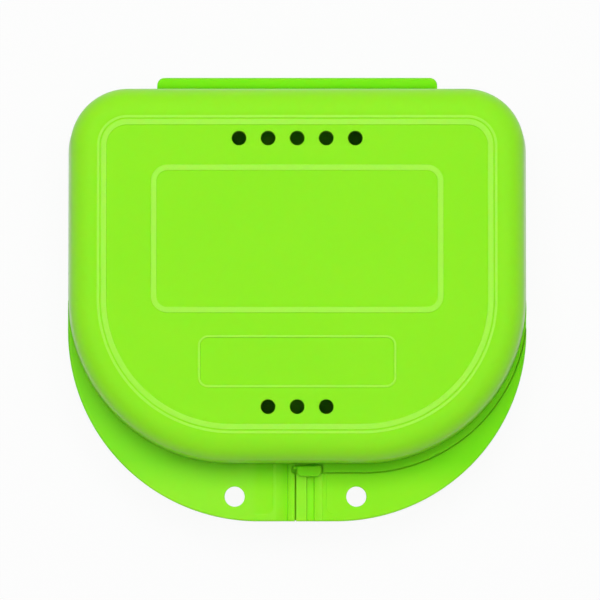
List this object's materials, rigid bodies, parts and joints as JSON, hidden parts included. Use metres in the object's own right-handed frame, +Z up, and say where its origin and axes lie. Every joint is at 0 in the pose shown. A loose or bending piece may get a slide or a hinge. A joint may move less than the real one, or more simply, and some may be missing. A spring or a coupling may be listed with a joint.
{
  "type": "retainer case",
  "caption": "Shallow D-shaped hinged plastic case with a domed lid, air holes, two thumb tabs with cord holes and a snap hook.",
  "frame": {"origin": "middle of the closed case's footprint, on its underside", "axes": "+Z up through the lid, +Y towards the hinge, -Y towards the thumb tabs"},
  "size_m": [0.08, 0.0774, 0.027],
  "materials": {
    "green_plastic": "satin gloss",
    "steel_pin": "drawn wire"
  },
  "bodies": {
    "base": {"base_shell": "green_plastic", "base_thumb_tab": "green_plastic", "base_rim_lip": "green_plastic", "hinge_pin": "steel_pin"},
    "lid": {"lid_shell": "green_plastic", "lid_thumb_tab": "green_plastic", "lid_rim_lip": "green_plastic"},
    "latch": {"latch_hook": "green_plastic"}
  },
  "joints": [
    {"name": "lid_hinge", "type": "hinge", "parent": "base", "child": "lid", "pos_m": [0, 0.03732, 0.0135], "axis": [-1, 0, 0], "range_deg": [0, 160]},
    {"name": "latch_flex", "type": "hinge", "parent": "base", "child": "latch", "pos_m": [0.00205, -0.02917, 0.0065], "axis": [1, 0, 0], "range_deg": [0, 3.5], "stiffness_Nm_per_rad": 0.3}
  ]
}
